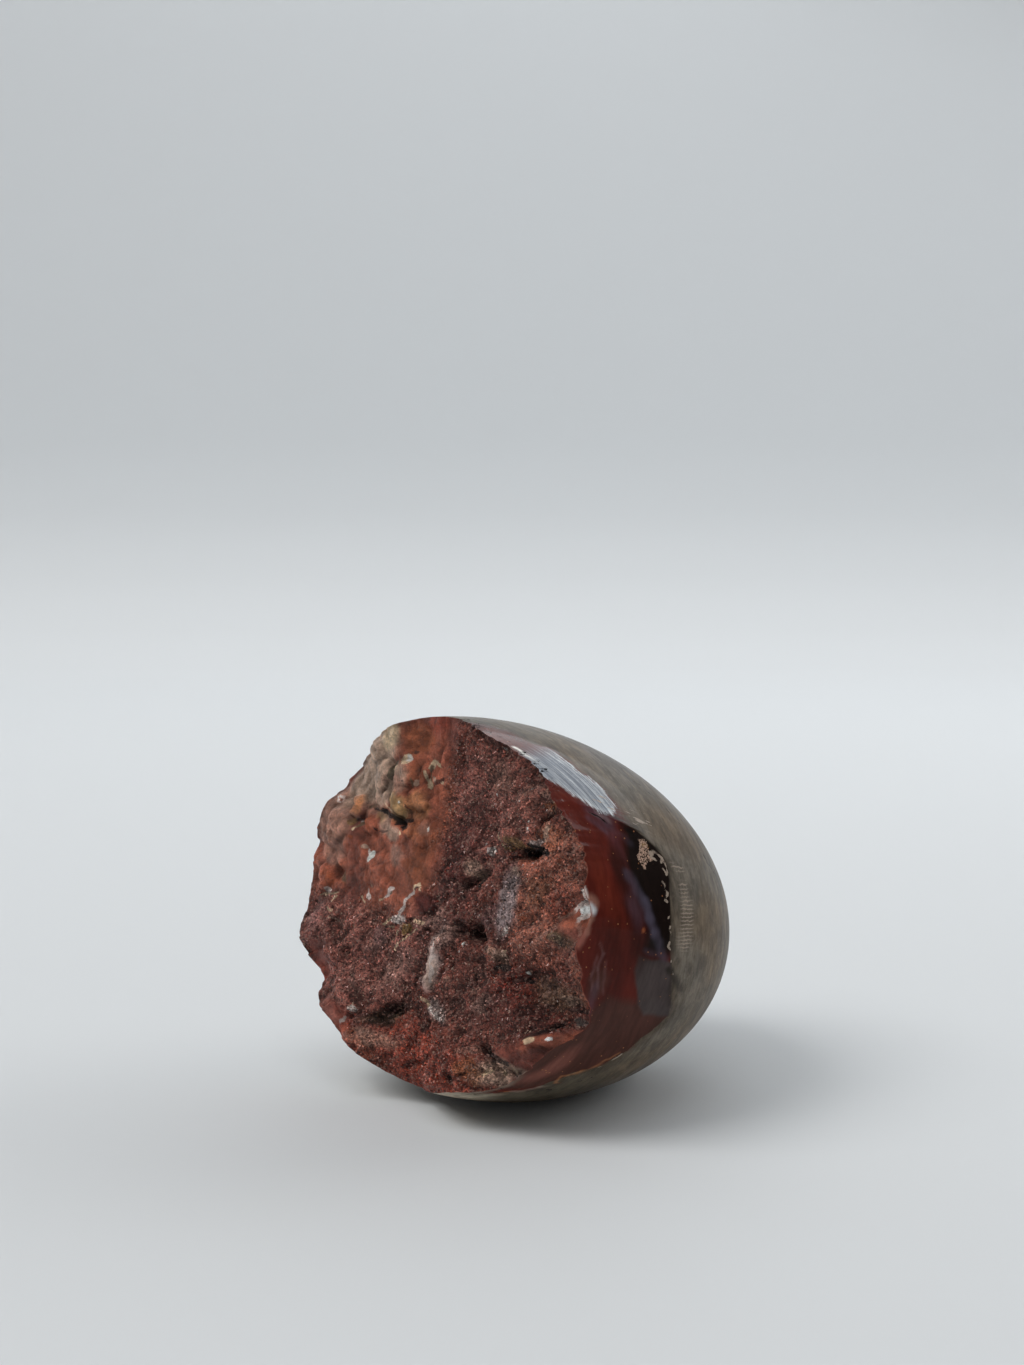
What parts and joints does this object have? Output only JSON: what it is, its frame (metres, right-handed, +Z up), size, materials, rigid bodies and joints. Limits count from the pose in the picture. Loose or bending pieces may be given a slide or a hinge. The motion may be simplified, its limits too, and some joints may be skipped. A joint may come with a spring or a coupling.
{
  "type": "polished chalcedony nodule",
  "caption": "Palm-sized red chalcedony nodule, polished like an egg, with a raw broken granular face at one end, lying on a small flat ground spot.",
  "frame": {"origin": "bottom centre of the stone's box, on the surface that it rests on", "axes": "+Z up; the raw face looks towards -X and -Y, left and forwards; the domed end points towards +X and +Y"},
  "size_m": [0.0615, 0.0629, 0.0523],
  "materials": {
    "chalcedony": "polished dome, grey-brown over dark red with blue-white bands, and a raw granular brick-red face"
  },
  "bodies": {
    "root": {"chalcedony_stone": "chalcedony"}
  },
  "joints": []
}
